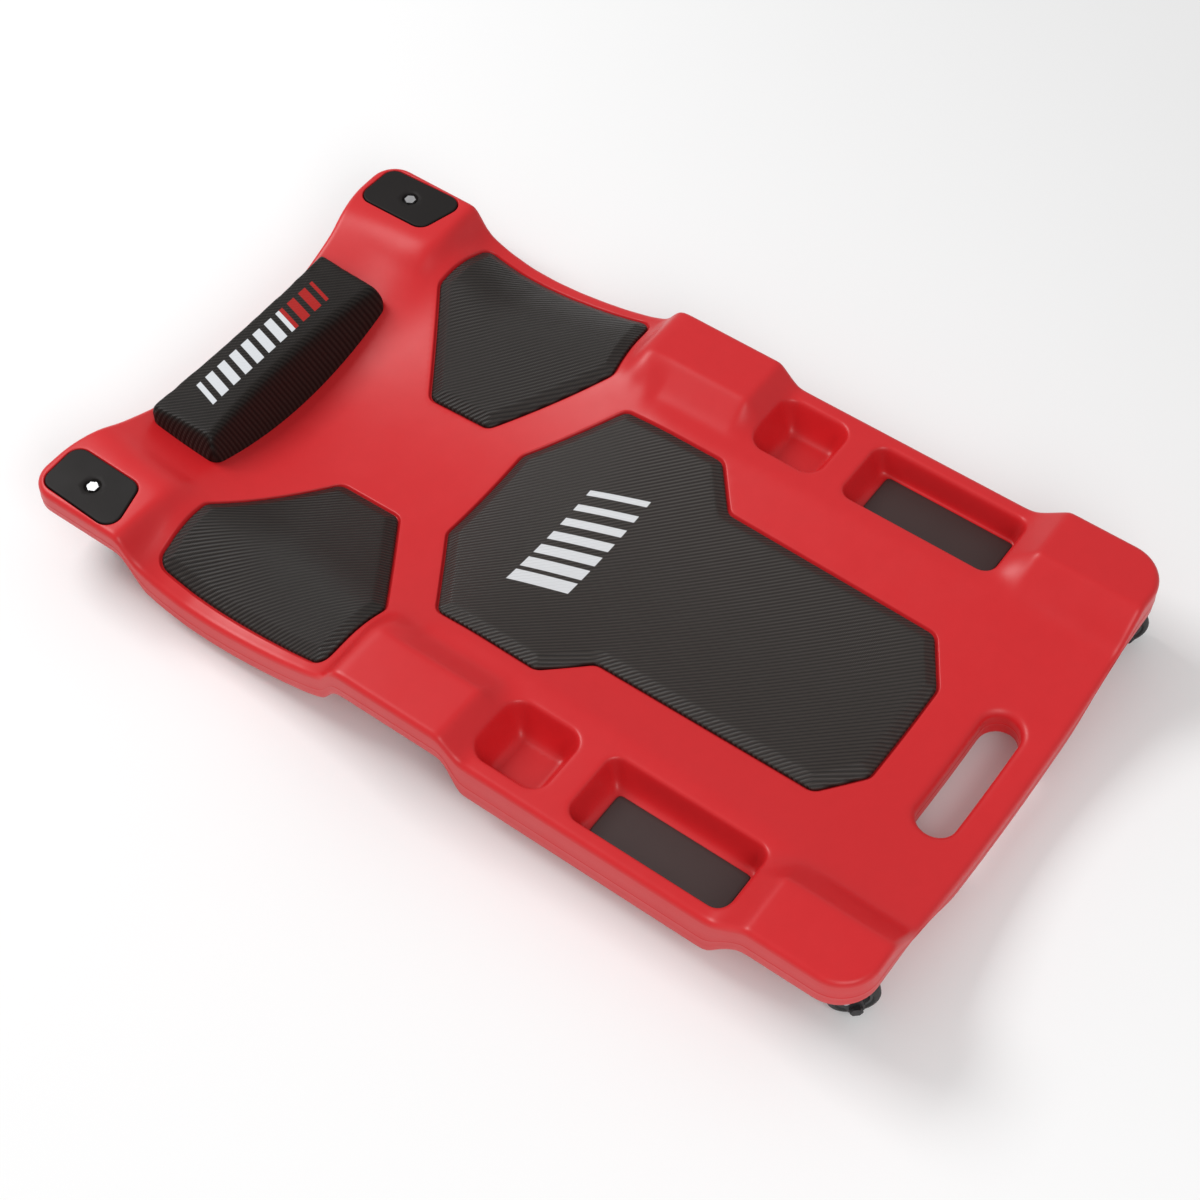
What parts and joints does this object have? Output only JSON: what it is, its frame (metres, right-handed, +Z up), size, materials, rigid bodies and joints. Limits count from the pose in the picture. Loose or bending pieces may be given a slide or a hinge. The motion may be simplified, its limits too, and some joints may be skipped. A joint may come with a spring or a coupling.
{
  "type": "mechanics creeper",
  "caption": "Low rolling board for lying on under a vehicle: hollow moulded deck with padded back, shoulders and headrest, cups, tool trays, a hand slot and swivel casters.",
  "frame": {"origin": "centre of the whole object's box, on the floor the wheels stand on", "axes": "+Y along the length towards the head end, +Z up, +X to the right seen from above with the head end away"},
  "size_m": [0.686, 1.168, 0.137],
  "materials": {
    "body_red": "satin moulded",
    "pad_vinyl": "diagonal ribbed vinyl",
    "pad_board": "raw board",
    "clip_nylon": "matt",
    "cap_rubber": "matt",
    "magnet_strip": "satin",
    "bright_steel": "satin",
    "zinc_steel": "zinc plated",
    "hub_nylon": "matt",
    "tyre_rubber": "matt"
  },
  "bodies": {
    "deck": {"deck_shell": "body_red", "main_pad": "pad_vinyl", "main_board": "pad_board", "shoulder_pad_l": "pad_vinyl", "shoulder_pad_r": "pad_vinyl", "shoulder_board_l": "pad_board", "shoulder_board_r": "pad_board", "headrest": "pad_vinyl", "headrest_board": "pad_board", "pad_clips": "clip_nylon", "corner_cap_l": "cap_rubber", "corner_cap_r": "cap_rubber", "cap_bolts": "bright_steel", "cap_nuts": "bright_steel", "magnet_l": "magnet_strip", "magnet_r": "magnet_strip", "plate_screws": "bright_steel", "plate_fl": "zinc_steel", "plate_fr": "zinc_steel", "plate_ml": "zinc_steel", "plate_mr": "zinc_steel", "plate_hl": "zinc_steel", "plate_hr": "zinc_steel", "kingpin_fl": "bright_steel", "kingpin_fr": "bright_steel", "kingpin_ml": "bright_steel", "kingpin_mr": "bright_steel", "kingpin_hl": "bright_steel", "kingpin_hr": "bright_steel"},
    "swivel_fl": {"fork_fl": "zinc_steel", "axle_fl": "bright_steel", "balls_fl": "bright_steel"},
    "wheel_fl": {"hub_fl": "hub_nylon", "tyre_fl": "tyre_rubber"},
    "swivel_fr": {"fork_fr": "zinc_steel", "axle_fr": "bright_steel", "balls_fr": "bright_steel"},
    "wheel_fr": {"hub_fr": "hub_nylon", "tyre_fr": "tyre_rubber"},
    "swivel_ml": {"fork_ml": "zinc_steel", "axle_ml": "bright_steel", "balls_ml": "bright_steel"},
    "wheel_ml": {"hub_ml": "hub_nylon", "tyre_ml": "tyre_rubber"},
    "swivel_mr": {"fork_mr": "zinc_steel", "axle_mr": "bright_steel", "balls_mr": "bright_steel"},
    "wheel_mr": {"hub_mr": "hub_nylon", "tyre_mr": "tyre_rubber"},
    "swivel_hl": {"fork_hl": "zinc_steel", "axle_hl": "bright_steel", "balls_hl": "bright_steel"},
    "wheel_hl": {"hub_hl": "hub_nylon", "tyre_hl": "tyre_rubber"},
    "swivel_hr": {"fork_hr": "zinc_steel", "axle_hr": "bright_steel", "balls_hr": "bright_steel"},
    "wheel_hr": {"hub_hr": "hub_nylon", "tyre_hr": "tyre_rubber"}
  },
  "joints": [
    {"name": "swivel_fl", "type": "hinge", "parent": "deck", "child": "swivel_fl", "pos_m": [-0.298, -0.534, 0.075], "axis": [0, 0, 1], "continuous": true},
    {"name": "roll_fl", "type": "hinge", "parent": "swivel_fl", "child": "wheel_fl", "pos_m": [-0.28194, -0.55184, 0.03], "axis": [0.7431, 0.6691, 0], "continuous": true},
    {"name": "swivel_fr", "type": "hinge", "parent": "deck", "child": "swivel_fr", "pos_m": [0.298, -0.534, 0.075], "axis": [0, 0, 1], "continuous": true},
    {"name": "roll_fr", "type": "hinge", "parent": "swivel_fr", "child": "wheel_fr", "pos_m": [0.31406, -0.55184, 0.03], "axis": [0.7431, 0.6691, 0], "continuous": true},
    {"name": "swivel_ml", "type": "hinge", "parent": "deck", "child": "swivel_ml", "pos_m": [-0.262, 0.029, 0.075], "axis": [0, 0, 1], "continuous": true},
    {"name": "roll_ml", "type": "hinge", "parent": "swivel_ml", "child": "wheel_ml", "pos_m": [-0.25579, 0.00582, 0.03], "axis": [0.9659, 0.2588, 0], "continuous": true},
    {"name": "swivel_mr", "type": "hinge", "parent": "deck", "child": "swivel_mr", "pos_m": [0.262, 0.029, 0.075], "axis": [0, 0, 1], "continuous": true},
    {"name": "roll_mr", "type": "hinge", "parent": "swivel_mr", "child": "wheel_mr", "pos_m": [0.26821, 0.00582, 0.03], "axis": [0.9659, 0.2588, 0], "continuous": true},
    {"name": "swivel_hl", "type": "hinge", "parent": "deck", "child": "swivel_hl", "pos_m": [-0.3, 0.514, 0.075], "axis": [0, 0, 1], "continuous": true},
    {"name": "roll_hl", "type": "hinge", "parent": "swivel_hl", "child": "wheel_hl", "pos_m": [-0.27825, 0.50386, 0.03], "axis": [0.4226, 0.9063, 0], "continuous": true},
    {"name": "swivel_hr", "type": "hinge", "parent": "deck", "child": "swivel_hr", "pos_m": [0.3, 0.514, 0.075], "axis": [0, 0, 1], "continuous": true},
    {"name": "roll_hr", "type": "hinge", "parent": "swivel_hr", "child": "wheel_hr", "pos_m": [0.27825, 0.50386, 0.03], "axis": [0.4226, -0.9063, 0], "continuous": true}
  ]
}
